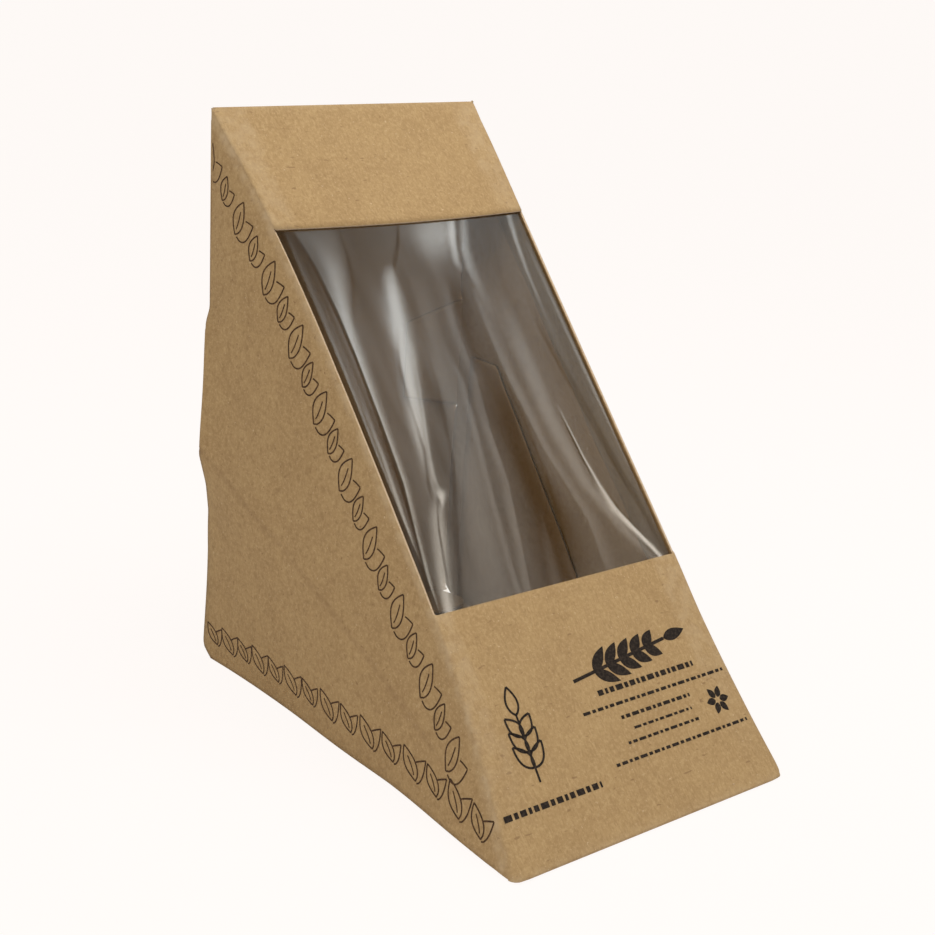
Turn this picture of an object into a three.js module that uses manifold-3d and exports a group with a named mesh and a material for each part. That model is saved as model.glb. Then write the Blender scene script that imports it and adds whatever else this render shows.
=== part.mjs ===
// A wedge-shaped sandwich box: one die-cut sheet of kraft board, folded and glued into a right-angled
// wedge, with a clear film glued behind the window in its sloping front.
// Units are millimetres. +Z is up, the window faces -Y, and the origin is under the middle of the box.
//
// The carton is drawn as the sheet that it is. Its rows run from the rear of the base forwards, round
// the foot, up the front, over the top and down the strip that the lid hinges on. Its lanes run across:
// dust flap, side panel, fold, front, and the same again on the right.

import * as THREE from "three";
import { mergeVertices } from "three/addons/utils/BufferGeometryUtils.js";
import Module from "manifold-3d";

const wasm = await Module();
wasm.setup();

// The box
const boxWidth = 70;
const boxDepth = 112.5;
const boxHeight = 124.8; // to where the front and the back would meet in a knife edge
const board = 0.5;
const seatGap = 0.3; // left between pieces and layers that touch, and round the lid

// The sloping front
const topPanel = 31; // down the slope, above the window
const bottomPanel = 51; // down the slope, below the window
const foldRadius = 1.7; // outside of the soft folds between the front and the sides
const foldRadiusAtWindow = 0.8; // where the fold ends in a raw edge
const foldSoftening = 12; // distance from the window over which the fold turns soft
const foldShareAtTip = 0.4; // of what is left of the side panel's width near its tip
const ridgeRadius = 0.55; // outside of the sharp folds along the top and the foot
const topPanelArch = 1.8; // how far the free edge above the window stands out in its middle

// The side panels
const sideFoot = 1; // the raw lower edge clears the surface that the box stands on
const sideHead = 3.4; // the raw tip stops this far below the top
const footCorner = 3.2; // radius of the lower rear corner
const leftBow = 5; // how far the film has drawn the left fold inwards, halfway down
const rightBow = 0.5;
const leftSpring = 1; // share of the swellings below that shows on the panel
const rightSpring = 0.35;
const creaseSpring = 1.8; // the flat-pack crease stands out this far at the rear edge
const creaseReachAbove = 32;
const creaseReachBelow = 13;
const creaseReachForward = 70;
const creaseSoftness = 1.5; // radius over which the crease's top is rounded
const footFlare = 1.3; // the lower rear corner springs out this far
const footFlareHeight = 26;
const footFlareDepth = 22;

// The dust flaps, one on the rear edge of each side panel, folded in behind the lid
const dustFlapFoot = 50.5;
const dustFlapHead = 77;
const dustFlapDepth = 17;
const dustFlapTaper = 4; // each end narrows this much towards the tip
const dustFoldRadius = 0.55;
const dustFlapSpring = 1.1; // its fold pushes the side panel out this far
const dustFlapRelief = 4.5; // height over which the panel's edge comes back in
const dustFlapSpringDepth = 12;

// The base's flaps, glued inside the side panels: low along the base, and tall at the rear
const glueFlapHead = 64;
const glueFlapHeadLength = 9.5;
const glueFlapLean = 0.8; // forward run of its front edge for each millimetre down
const glueFlapRear = 5; // its rear edge stands this far in from the side panel's
const glueStripHeight = 9;
const glueStripFront = 10; // its front end stands this far behind the foot
const glueFoldRadius = 0.6;

// The lid: the back panel, hinged under the top fold, with a flap that tucks in over the base
const lidSideClearance = 0.3;
const lipDrop = 3.2; // the fixed strip above the lid's hinge
const tuckLength = 15;
const tuckTilt = THREE.MathUtils.degToRad(8);
const tuckSideInset = 2.3;
const tuckCorner = 7;

// The film
const film = 0.2;
const filmOverlap = 7; // glued length above and below the window, down the slope
const filmLeg = 10; // how far it runs back along the side panels
const filmCorner = 4.5;
const filmRipple = 1.3;
const filmRipples = 3; // across the window

// How finely the curved sheets are drawn
const rowStep = 5;
const baseStep = 9;
const flapCells = 3;
const sideCells = 12;
const foldCells = 3;
const frontCells = 8;
const ridgeCells = 5;
const filmFrontCells = 20;
const filmFoldCells = 4;
const filmSideCells = 2;

const slopeLength = Math.hypot(boxHeight, boxDepth);
const rise = boxHeight / slopeLength; // height for each millimetre up the slope
const slopeOut = Math.atan2(boxDepth, -boxHeight); // direction of the front's outward normal
const flatCreaseSlope = Math.tan(Math.atan2(boxHeight, boxDepth) / 2);
const back = boxDepth / 2;
const lidInnerFace = back - board;
const dustFlapFace = lidInnerFace - seatGap; // outer face of the folded dust flaps
const rawRearEdge = dustFlapFace - dustFoldRadius; // of the side panels
const glueRear = rawRearEdge - glueFlapRear;
const windowSill = bottomPanel * rise;
const windowHead = boxHeight - topPanel * rise;
const sideTip = boxHeight - sideHead;

const clamp01 = (value) => Math.min(1, Math.max(0, value));
const { lerp, smoothstep } = THREE.MathUtils;
const frontY = (z) => -back + (boxDepth * z) / boxHeight;

// The centres of the sharp folds, which touch the front and the base or the back
const footCentre = {
  y: -back + (ridgeRadius * (slopeLength + boxDepth)) / boxHeight,
  z: ridgeRadius,
};
const crestCentre = {
  y: back - ridgeRadius,
  z: boxHeight - (ridgeRadius * (slopeLength + boxHeight)) / boxDepth,
};
const slopeFootZ = footCentre.z + ridgeRadius * Math.sin(slopeOut);
const slopeCrestZ = crestCentre.z + ridgeRadius * Math.sin(slopeOut);

// The outline of a side panel's rear edge, with its round lower corner
function rearY(z) {
  const drop = Math.max(0, footCorner - (z - sideFoot));
  return rawRearEdge - footCorner + Math.sqrt(Math.max(0, footCorner ** 2 - drop ** 2));
}

// How far a side panel's surface is held out by its dust flap, from 0 to 1
function flapHold(z) {
  const fromBelow = clamp01((z - dustFlapFoot) / (dustFlapRelief * 2) + 1);
  const fromAbove = clamp01((dustFlapHead - z) / dustFlapRelief + 1);
  return Math.min(fromBelow, fromAbove);
}

// How far a side panel stands out from its flat place. Negative is inwards.
function sideShift(side, y, z) {
  const bow = side < 0 ? leftBow : rightBow;
  const spring = side < 0 ? leftSpring : rightSpring;
  const front = frontY(z);
  const behindFold = clamp01((y - front) / Math.max(1, rawRearEdge - front));
  const aheadOfRear = Math.max(0, rawRearEdge - y);
  const drawnIn = bow * (1 - Math.abs((2 * z) / boxHeight - 1) ** 3) * (1 - behindFold) ** 2;
  const aboveCrease = z - (y + back) * flatCreaseSlope;
  const creaseReach = aboveCrease > 0 ? creaseReachAbove : creaseReachBelow;
  const fromCrease = Math.hypot(aboveCrease, creaseSoftness) - creaseSoftness;
  const crease =
    creaseSpring *
    clamp01(1 - fromCrease / creaseReach) *
    clamp01(1 - aheadOfRear / creaseReachForward) ** 2;
  const flap = dustFlapSpring * flapHold(z) * clamp01(1 - aheadOfRear / dustFlapSpringDepth) ** 2;
  const foot =
    footFlare *
    clamp01(1 - z / footFlareHeight) *
    clamp01(1 - aheadOfRear / footFlareDepth) ** 2;
  return (crease + flap + foot) * spring - drawnIn;
}

const sideX = (side, y, z, inset = 0) =>
  side * (boxWidth / 2 + sideShift(side, y, z) - inset);

// The fold is tight at the window, where it was cut, softer away from it, and tight at the top again.
function foldRadiusAt(z) {
  const away = Math.max(0, windowSill - z, z - windowHead);
  const soft = lerp(foldRadiusAtWindow, foldRadius, smoothstep(away, 0, foldSoftening));
  return Math.max(ridgeRadius, Math.min(soft, (rawRearEdge - frontY(z)) * foldShareAtTip));
}

// The stops across a sheet: which lane, on which side, and how far along it. A lane on the left runs
// towards the middle, and its twin on the right runs back out.
function stopsAcross(outerLanes, middleCells) {
  const stops = [];
  const add = (lane, side, along) => stops.push({ lane, side, along });
  for (const { lane, cells } of outerLanes) {
    for (let i = 0; i < cells; i++) add(lane, -1, i / cells);
  }
  for (let i = 0; i <= middleCells; i++) add("middle", 0, i / middleCells);
  for (const { lane, cells } of [...outerLanes].reverse()) {
    for (let i = 1; i <= cells; i++) add(lane, 1, 1 - i / cells);
  }
  return stops;
}

// A row that runs round both folds at one height: back along each side panel, and across the front
function levelRow(z, stops, { inset = 0, radiusAt = foldRadiusAt, rear = rearY, push = () => 0 }) {
  const front = frontY(z) + inset / rise;
  const radius = radiusAt(z);
  const cornerX = (side) => sideX(side, front + radius, z, inset) - side * radius;
  return stops.map(({ lane, side, along }) => {
    if (lane === "middle") {
      const x = lerp(cornerX(-1), cornerX(1), along);
      return new THREE.Vector3(x, front + push(along, z), z);
    }
    if (lane === "fold") {
      const turn = along * (Math.PI / 2);
      const x = cornerX(side) + side * radius * Math.cos(turn);
      return new THREE.Vector3(x, front + radius * (1 - Math.sin(turn)), z);
    }
    if (lane === "side") {
      const y = lerp(rear(z), front + radius, along);
      return new THREE.Vector3(sideX(side, y, z, inset), y, z);
    }
    return dustFlapPoint(z, lane, side, along);
  });
}

// The dust flap runs outwards behind the lid, and turns forwards into the side panel's rear edge.
function dustFlapPoint(z, lane, side, along) {
  const foldX = sideX(side, rawRearEdge, z) - side * dustFoldRadius;
  if (lane === "dustFold") {
    const turn = (1 - along) * (Math.PI / 2);
    const x = foldX + side * dustFoldRadius * Math.cos(turn);
    return new THREE.Vector3(x, rawRearEdge + dustFoldRadius * Math.sin(turn), z);
  }
  const share = clamp01((z - dustFlapFoot) / (dustFlapHead - dustFlapFoot));
  const narrowed = z + dustFlapTaper * (1 - along) * (1 - 2 * share);
  const x = lerp(side * (boxWidth / 2 - dustFlapDepth), foldX, along);
  return new THREE.Vector3(x, dustFlapFace, narrowed);
}

// The height of the base's glued flap, which is level, then leans up, then is level again
function glueFlapTop(y) {
  const aheadOfHead = glueRear - glueFlapHeadLength - y;
  return THREE.MathUtils.clamp(glueFlapHead - aheadOfHead / glueFlapLean, glueStripHeight, glueFlapHead);
}

// A row across the base, with the glued flaps standing up inside the side panels
function baseRow(y, stops) {
  const inset = board + seatGap;
  const foldX = boxWidth / 2 - inset - glueFoldRadius;
  const lift = glueFoldRadius;
  return stops.map(({ lane, side, along }) => {
    if (lane === "middle") return new THREE.Vector3(lerp(-foldX, foldX, along), y, 0);
    if (lane === "fold") {
      const turn = along * (Math.PI / 2);
      const x = side * (foldX + glueFoldRadius * Math.cos(turn));
      return new THREE.Vector3(x, y, lift * (1 - Math.sin(turn)));
    }
    const z = lane === "side" ? lerp(glueFlapTop(y), lift, along) : glueFlapTop(y);
    // The flap is flat where it folds up from the base, and lies along the panel above that.
    const shift = sideShift(side, y, z) * smoothstep(z, lift, glueStripHeight);
    return new THREE.Vector3(side * (boxWidth / 2 - inset + shift), y, z);
  });
}

// A row across one of the sharp folds, or the strip behind the top one
function ridgeRow(y, z, stops, sideRadius) {
  const half = boxWidth / 2 - sideRadius;
  return stops.map(({ lane, side, along }) => {
    const x = lane === "middle" ? lerp(-half, half, along) : side * half;
    return new THREE.Vector3(x, y, z);
  });
}

// Values that include every one in keys, with none further apart than step
function spaced(keys, step) {
  const all = [keys[0]];
  for (let i = 1; i < keys.length; i++) {
    const cells = Math.max(1, Math.ceil(Math.abs(keys[i] - keys[i - 1]) / step - 1e-9));
    for (let k = 1; k <= cells; k++) all.push(lerp(keys[i - 1], keys[i], k / cells));
  }
  return all;
}

// A closed sheet over a grid of points. points[row][column] is its outer face, and the board lies on
// the inner side. isOpen(row, column) leaves a cell out.
function sheetGeometry(points, thickness, isOpen = () => false) {
  const rows = points.length;
  const columns = points[0].length;
  const filled = (r, c) => r >= 0 && c >= 0 && r < rows - 1 && c < columns - 1 && !isOpen(r, c);
  const cellNormal = (r, c) => {
    const rising = points[r + 1][c + 1].clone().sub(points[r][c]);
    const falling = points[r][c + 1].clone().sub(points[r + 1][c]);
    return falling.cross(rising).normalize();
  };
  const innerPoint = (r, c) => {
    const around = [];
    for (const [dr, dc] of [[-1, -1], [-1, 0], [0, -1], [0, 0]]) {
      if (filled(r + dr, c + dc)) around.push(cellNormal(r + dr, c + dc));
    }
    if (around.length === 0) return points[r][c];
    const mean = around.reduce((sum, n) => sum.add(n), new THREE.Vector3()).normalize();
    const lean = Math.max(0.5, Math.min(...around.map((n) => n.dot(mean))));
    return points[r][c].clone().addScaledVector(mean, -thickness / lean);
  };
  const inner = points.map((row, r) => row.map((_, c) => innerPoint(r, c)));
  const position = [];
  const quad = (a, b, c, d) => {
    for (const p of [a, b, c, a, c, d]) position.push(p.x, p.y, p.z);
  };
  for (let r = 0; r < rows - 1; r++) {
    for (let c = 0; c < columns - 1; c++) {
      if (!filled(r, c)) continue;
      const [a, b, d, e] = [points[r][c], points[r][c + 1], points[r + 1][c + 1], points[r + 1][c]];
      const [ai, bi, di, ei] = [inner[r][c], inner[r][c + 1], inner[r + 1][c + 1], inner[r + 1][c]];
      quad(a, b, d, e);
      quad(ei, di, bi, ai);
      if (!filled(r - 1, c)) quad(ai, bi, b, a);
      if (!filled(r + 1, c)) quad(di, ei, e, d);
      if (!filled(r, c - 1)) quad(ei, ai, a, e);
      if (!filled(r, c + 1)) quad(bi, di, d, b);
    }
  }
  const geometry = new THREE.BufferGeometry();
  geometry.setAttribute("position", new THREE.Float32BufferAttribute(position, 3));
  geometry.computeVertexNormals();
  return geometry;
}

// Whether two neighbouring rows of the front lie between two heights
function inBand(row, next, low, high) {
  return row.part === "front" && next.part === "front" && row.z > low - 1e-6 && next.z < high + 1e-6;
}

// The whole carton, as one folded sheet
function cartonGeometry() {
  const stops = stopsAcross(
    [
      { lane: "dustFlap", cells: flapCells },
      { lane: "dustFold", cells: foldCells },
      { lane: "side", cells: sideCells },
      { lane: "fold", cells: foldCells },
    ],
    frontCells,
  );
  const rows = [];
  const ridge = (centre, turn, sideRadius) => {
    const y = centre.y + ridgeRadius * Math.cos(turn);
    const z = centre.z + ridgeRadius * Math.sin(turn);
    rows.push({ part: "ridge", points: ridgeRow(y, z, stops, sideRadius) });
  };
  const baseKeys = [
    back,
    glueRear,
    glueRear - glueFlapHeadLength,
    glueRear - glueFlapHeadLength - (glueFlapHead - glueStripHeight) * glueFlapLean,
    -back + glueStripFront,
    footCentre.y,
  ];
  for (const y of spaced(baseKeys, baseStep)) rows.push({ part: "base", y, points: baseRow(y, stops) });
  for (let i = 1; i < ridgeCells; i++) {
    ridge(footCentre, lerp(1.5 * Math.PI, slopeOut, i / ridgeCells), foldRadius);
  }

  // The free edge above the window stands out a little in its middle.
  const archEnd = sideTip - foldRadius;
  const push = (along, z) => {
    if (z < windowHead - 1e-6) return 0;
    const arch = clamp01((archEnd - z) / (archEnd - windowHead)) ** 2;
    return (-topPanelArch * arch * Math.sin(Math.PI * along)) / rise;
  };
  const frontKeys = [
    slopeFootZ,
    sideFoot,
    sideFoot + footCorner * 0.3,
    sideFoot + footCorner,
    windowSill,
    dustFlapFoot,
    dustFlapHead,
    windowHead,
    sideTip,
    slopeCrestZ,
  ];
  for (const z of spaced(frontKeys, rowStep)) {
    rows.push({ part: "front", z, points: levelRow(z, stops, { push }) });
  }
  for (let i = 1; i <= ridgeCells; i++) ridge(crestCentre, lerp(slopeOut, 0, i / ridgeCells), ridgeRadius);
  rows.push({ part: "ridge", points: ridgeRow(back, boxHeight - lipDrop, stops, ridgeRadius) });

  // A cell belongs to the lane that its outer edge is in.
  const laneOf = (c) => (stops[c + 1].side === 1 ? stops[c + 1].lane : stops[c].lane);
  const isOpen = (r, c) => {
    const lane = laneOf(c);
    const [row, next] = [rows[r], rows[r + 1]];
    if (lane === "middle") return inBand(row, next, windowSill, windowHead);
    if (lane === "dustFlap" || lane === "dustFold") return !inBand(row, next, dustFlapFoot, dustFlapHead);
    if (row.part === "base" && next.part === "base") {
      return row.y > glueRear + 1e-6 || next.y < -back + glueStripFront - 1e-6;
    }
    // The window runs from fold to fold, so the side panels end there in a raw edge.
    const cutAway = lane === "fold" && inBand(row, next, windowSill, windowHead);
    return cutAway || !inBand(row, next, sideFoot, sideTip);
  };
  return sheetGeometry(rows.map((row) => row.points), board, isOpen);
}

// The lid's hinge line lies just under the fixed strip, in the middle of the board.
const hingeY = back - board / 2;
const hingeZ = boxHeight - lipDrop - seatGap - board / 2;

function solidOf(geometry) {
  const bare = new THREE.BufferGeometry();
  bare.setAttribute("position", geometry.getAttribute("position"));
  if (geometry.index) bare.setIndex(geometry.index);
  const merged = mergeVertices(bare, 1e-4);
  return new wasm.Manifold(
    new wasm.Mesh({
      numProp: 3,
      vertProperties: merged.attributes.position.array,
      triVerts: new Uint32Array(merged.index.array),
    }),
  );
}

function geometryOf(solid) {
  const { vertProperties, triVerts } = solid.getMesh();
  const indexed = new THREE.BufferGeometry();
  indexed.setAttribute("position", new THREE.BufferAttribute(new Float32Array(vertProperties), 3));
  indexed.setIndex(new THREE.BufferAttribute(new Uint32Array(triVerts), 1));
  const geometry = indexed.toNonIndexed();
  geometry.computeVertexNormals();
  return geometry;
}

// The lid and its tuck flap: one bent profile across the box, with the flap's free corners cut round
function lidGeometry() {
  const foot = board + seatGap; // underside of the fold at the lid's foot
  const tipY = lidInnerFace - Math.cos(tuckTilt) * tuckLength;
  const tipZ = foot + Math.sin(tuckTilt) * tuckLength;
  const profile = new THREE.Shape();
  profile.moveTo(back, hingeZ);
  profile.absarc(hingeY, hingeZ, board / 2, 0, Math.PI, false);
  profile.lineTo(lidInnerFace, foot + board);
  profile.lineTo(tipY + Math.sin(tuckTilt) * board, tipZ + Math.cos(tuckTilt) * board);
  profile.lineTo(tipY, tipZ);
  profile.lineTo(lidInnerFace, foot);
  profile.absarc(lidInnerFace, foot + board, board, 1.5 * Math.PI, 2 * Math.PI, false);
  profile.closePath();
  const half = boxWidth / 2 - lidSideClearance;
  const bent = new THREE.ExtrudeGeometry(profile, {
    depth: 2 * half,
    bevelEnabled: false,
    curveSegments: 6,
  });
  // The profile's x and y become the part's y and z, and it is extruded along +X.
  bent.applyMatrix4(
    new THREE.Matrix4().makeBasis(
      new THREE.Vector3(0, 1, 0),
      new THREE.Vector3(0, 0, 1),
      new THREE.Vector3(1, 0, 0),
    ),
  );
  bent.translate(-half, 0, 0);

  // Seen from above: everything from just ahead of the lid backwards, and the flap's outline ahead
  const flapHalf = half - tuckSideInset;
  const flapRoot = lidInnerFace - board;
  const cornerY = tipY + tuckCorner;
  const outline = new THREE.Shape();
  outline.moveTo(-half - 1, back + 1);
  outline.lineTo(-half - 1, flapRoot);
  outline.lineTo(-flapHalf, flapRoot);
  outline.lineTo(-flapHalf, cornerY);
  outline.absarc(-flapHalf + tuckCorner, cornerY, tuckCorner, Math.PI, 1.5 * Math.PI, false);
  outline.absarc(flapHalf - tuckCorner, cornerY, tuckCorner, 1.5 * Math.PI, 2 * Math.PI, false);
  outline.lineTo(flapHalf, flapRoot);
  outline.lineTo(half + 1, flapRoot);
  outline.lineTo(half + 1, back + 1);
  outline.closePath();
  const cutter = new THREE.ExtrudeGeometry(outline, {
    depth: boxHeight,
    bevelEnabled: false,
    curveSegments: 6,
  });
  return geometryOf(solidOf(bent).intersect(solidOf(cutter)));
}

// The window film, drawn over the same levels inside the board, with soft ripples down the slope
function filmGeometry() {
  const lap = filmOverlap * rise;
  const stops = stopsAcross(
    [
      { lane: "side", cells: filmSideCells },
      { lane: "fold", cells: filmFoldCells },
    ],
    filmFrontCells,
  );
  const slack = (z) => {
    const up = clamp01((z - windowSill) / (windowHead - windowSill));
    return Math.sin(Math.PI * up) ** 0.7;
  };
  const push = (along, z) => {
    const ripples = 0.5 + 0.5 * Math.cos(2 * Math.PI * filmRipples * along);
    return filmRipple * ripples * slack(z) * Math.sin(Math.PI * along);
  };
  const settings = {
    inset: board + seatGap,
    radiusAt: () => filmCorner,
    rear: (z) => frontY(z) + filmLeg + filmCorner,
    push,
  };
  const keys = [windowSill - lap, windowSill, windowHead, windowHead + lap];
  const points = spaced(keys, rowStep).map((z) => levelRow(z, stops, settings));
  return sheetGeometry(points, film);
}

const kraftBoard = new THREE.MeshStandardMaterial({ color: 0xaa8a63, roughness: 0.85, metalness: 0 });
const clearFilm = new THREE.MeshStandardMaterial({
  color: 0xe9edea,
  roughness: 0.08,
  metalness: 0,
  transparent: true,
  opacity: 0.25,
});

function piece(name, geometry, material) {
  const mesh = new THREE.Mesh(geometry, material);
  mesh.name = name;
  return mesh;
}

const box = new THREE.Group();
box.add(piece("carton", cartonGeometry(), kraftBoard));
box.add(piece("rear_lid", lidGeometry(), kraftBoard));
box.add(piece("window_film", filmGeometry(), clearFilm));

export default box;
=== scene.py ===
# A sandwich wedge box of brown kraft board, with a clear film in its sloping front and a rear lid.
import math

import bpy
import numpy as np
from mathutils import Matrix, Vector


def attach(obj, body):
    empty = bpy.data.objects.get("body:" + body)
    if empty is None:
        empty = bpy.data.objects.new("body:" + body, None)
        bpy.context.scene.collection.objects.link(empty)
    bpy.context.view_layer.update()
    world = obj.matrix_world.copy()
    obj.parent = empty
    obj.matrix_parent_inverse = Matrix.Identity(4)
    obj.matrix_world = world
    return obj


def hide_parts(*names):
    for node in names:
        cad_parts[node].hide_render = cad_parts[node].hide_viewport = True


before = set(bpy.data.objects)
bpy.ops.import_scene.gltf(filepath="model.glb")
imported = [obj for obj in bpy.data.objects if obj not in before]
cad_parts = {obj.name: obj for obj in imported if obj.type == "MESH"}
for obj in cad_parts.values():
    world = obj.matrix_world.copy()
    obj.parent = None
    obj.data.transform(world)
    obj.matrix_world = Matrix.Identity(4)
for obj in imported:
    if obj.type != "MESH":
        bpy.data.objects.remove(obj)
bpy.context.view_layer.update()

# The camera stands in front of the box's left side, a little above it, and is turned by a few
# degrees, which is how the photograph makes the top edge lean.
camera_azimuth = math.radians(-39.54)
camera_elevation = math.radians(18.49)
camera_roll = math.radians(3.5)
camera_distance = 0.3325
camera_target = Vector((-0.00644, 0.0, 0.05718))
lens_mm = 62.3


def new_object(name, data):
    made = bpy.data.objects.new(name, data)
    bpy.context.scene.collection.objects.link(made)
    return made


towards_camera = Vector((
    math.sin(camera_azimuth) * math.cos(camera_elevation),
    -math.cos(camera_azimuth) * math.cos(camera_elevation),
    math.sin(camera_elevation),
))
level_right = Vector((0, 0, 1)).cross(towards_camera).normalized()
level_up = towards_camera.cross(level_right)
right = level_right * math.cos(camera_roll) + level_up * math.sin(camera_roll)
up = level_up * math.cos(camera_roll) - level_right * math.sin(camera_roll)
camera = new_object("camera", bpy.data.cameras.new("camera"))
camera.data.lens = lens_mm
camera.data.sensor_width = 36
camera.data.clip_start = 0.01
camera.matrix_world = Matrix.Translation(camera_target + towards_camera * camera_distance) @ (
    Matrix((right, up, towards_camera)).transposed().to_4x4()
)
bpy.context.scene.camera = camera
bpy.context.scene.view_settings.view_transform = "Standard"


# Kraft board: unbleached brown pulp board, about 0.45 mm thick, with fine fibres and flecks in its
# flat brown face, and a paler core where it is cut. The tools that put shaders together come first.
class Wire:
    """A node's output, with Python's operators for the maths on it."""

    def __init__(self, tree, socket):
        self.tree = tree
        self.socket = socket

    def math(self, operation, *others):
        node = self.tree.nodes.new("ShaderNodeMath")
        node.operation = operation
        for socket, value in zip(node.inputs, (self, *others)):
            put(self.tree, socket, value)
        return Wire(self.tree, node.outputs[0])

    def __add__(self, other):
        return self.math("ADD", other)

    def __radd__(self, other):
        return self.math("ADD", other)

    def __sub__(self, other):
        return self.math("SUBTRACT", other)

    def __rsub__(self, other):
        return (self * -1) + other

    def __mul__(self, other):
        return self.math("MULTIPLY", other)

    def __rmul__(self, other):
        return self.math("MULTIPLY", other)

    def __pow__(self, other):
        return self.math("POWER", other)

    def ramp(self, low, high):
        """0 where the value is low, 1 where it is high, smooth between."""
        sockets = {"Value": self, "From Min": low, "From Max": high}
        return add(self.tree, "ShaderNodeMapRange", sockets, interpolation_type="SMOOTHSTEP")["Result"]


def put(tree, socket, value):
    if isinstance(value, Wire):
        tree.links.new(value.socket, socket)
    else:
        socket.default_value = value


def add(tree, kind, sockets=(), **settings):
    """Adds a node, with the values or wires of its sockets and its settings, and returns its outputs."""
    node = tree.nodes.new(kind)
    for name, value in settings.items():
        setattr(node, name, value)
    for name, value in dict(sockets).items():
        put(tree, node.inputs[name], value)
    outputs = {}
    for socket in node.outputs:
        outputs.setdefault(socket.name, Wire(tree, socket))
    return outputs


def mix_colour(tree, share, first, second):
    node = tree.nodes.new("ShaderNodeMix")
    node.data_type = "RGBA"
    for index, value in ((0, share), (6, first), (7, second)):
        put(tree, node.inputs[index], value)
    return Wire(tree, node.outputs[2])


def mix_shader(tree, share, first, second):
    return add(tree, "ShaderNodeMixShader", {0: share, 1: first, 2: second})["Shader"]


def new_material(name):
    material = bpy.data.materials.new(name)
    material.use_nodes = True
    material.node_tree.nodes.clear()
    return material, material.node_tree


def finish_material(tree, shader):
    add(tree, "ShaderNodeOutputMaterial", {"Surface": shader})


def finish_matt(tree, colour, roughness, specular, normal=None):
    sockets = {"Base Color": colour, "Roughness": roughness, "Specular IOR Level": specular}
    if normal:
        sockets["Normal"] = normal
    finish_material(tree, add(tree, "ShaderNodeBsdfPrincipled", sockets)["BSDF"])


def noise(tree, vector, scale, detail=2.0, roughness=0.5):
    sockets = {"Vector": vector, "Scale": scale, "Detail": detail, "Roughness": roughness}
    return next(iter(add(tree, "ShaderNodeTexNoise", sockets, noise_dimensions="3D").values()))


def stretched(tree, vector, squeeze):
    """The coordinates, squeezed along the axes so that a noise over them is drawn out into fibres."""
    return add(tree, "ShaderNodeVectorMath", {0: vector, 1: squeeze}, operation="MULTIPLY")["Vector"]


def object_place(tree):
    return add(tree, "ShaderNodeTexCoord")["Object"]


def attribute_value(tree, name):
    return add(tree, "ShaderNodeAttribute", attribute_name=name)["Fac"]


def relief_normal(tree, strength, distance, height):
    sockets = {"Strength": strength, "Distance": distance, "Height": height}
    return add(tree, "ShaderNodeBump", sockets)["Normal"]


face_colour = (0.455, 0.287, 0.125, 1)
face_dark = (0.335, 0.197, 0.082, 1)
face_light = (0.590, 0.395, 0.190, 1)
fleck_dark = (0.235, 0.125, 0.055, 1)
fleck_light = (0.70, 0.52, 0.32, 1)
core_colour = (0.66, 0.48, 0.30, 1)
# Paler along the folds and edges: partly scuffed wear, partly a painted highlight on the side folds
worn_and_highlight_colour = (0.60, 0.43, 0.25, 1)
# The inside of the board is the same kraft as its face: its colours are painted darker as the shade inside
# the box.
shaded_inside_colour = (0.32, 0.185, 0.075, 1)
shaded_inside_dark = (0.235, 0.130, 0.050, 1)
shaded_inside_light = (0.39, 0.24, 0.105, 1)
# A near-black painted shadow line, for the raw edges of the flaps glued inside
flap_edge_shadow_colour = (0.085, 0.048, 0.020, 1)
# The sizes of the board's pattern, as the noises' scales per metre
cloud_scale = 130
ripple_scale = 160
broken_wear_scale = 420
long_fleck_scale = 1250
grain_scale = 1400
short_fleck_scale = 1750
cut_edge_scale = 2400
fibre_scale = 2600
fibre_squeeze = (1.0, 0.28, 0.28)
fleck_squeeze = (0.35, 1.0, 0.9)


def kraft_material(name, plain, dark, light, has_wear_and_highlight, inner=None):
    """Kraft board. inner is the range of y over which a sheet's inside turns into its face."""
    material, tree = new_material(name)
    place = object_place(tree)
    cloud = noise(tree, place, cloud_scale, detail=5.0, roughness=0.72).ramp(0.38, 0.66)
    fibre = noise(tree, stretched(tree, place, fibre_squeeze), fibre_scale, detail=3.0, roughness=0.7)
    grain = noise(tree, place, grain_scale, detail=4.0, roughness=0.75)
    long_fleck = noise(tree, stretched(tree, place, fleck_squeeze), long_fleck_scale, detail=1.0)
    short_fleck = noise(tree, place, short_fleck_scale, detail=1.0)
    colour = mix_colour(tree, cloud * 0.40, plain, dark)
    colour = mix_colour(tree, grain.ramp(0.40, 0.70) * 0.62, colour, light)
    colour = mix_colour(tree, fibre.ramp(0.46, 0.74) * 0.66, colour, dark)
    colour = mix_colour(tree, long_fleck.ramp(0.70, 0.78) * 0.55, colour, fleck_dark)
    colour = mix_colour(tree, short_fleck.ramp(0.71, 0.80) * 0.55, colour, fleck_light)
    # Paler along the folds and edges, partly scuffed wear and partly a painted highlight on the side folds
    if has_wear_and_highlight:
        broken = noise(tree, place, broken_wear_scale, detail=3.0).ramp(0.35, 0.65)
        worn = attribute_value(tree, "wear_and_highlight") * (broken * 0.6 + 0.25)
        colour = mix_colour(tree, worn, colour, worn_and_highlight_colour)
        # Painted shade: the face is darkened along the flat-pack crease of the side panels, where shade
        # falls in the crease
        colour = mix_colour(tree, attribute_value(tree, "crease") * 0.35, colour, fleck_dark)
    # A sheet's inside takes the inside's colour, painted darker as the shade inside the box
    if inner:
        outer_face = add(tree, "ShaderNodeSeparateXYZ", {"Vector": place})["Y"].ramp(*inner)
        colour = mix_colour(tree, outer_face, shaded_inside_colour, colour)
    relief = grain * 0.5 + fibre * 0.6 + noise(tree, place, ripple_scale) * 1.6
    finish_matt(tree, colour, grain * 0.16 + 0.66, 0.25, relief_normal(tree, 0.30, 0.00012, relief))
    return material


kraft_face = kraft_material("kraft_face", face_colour, face_dark, face_light, True)
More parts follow.
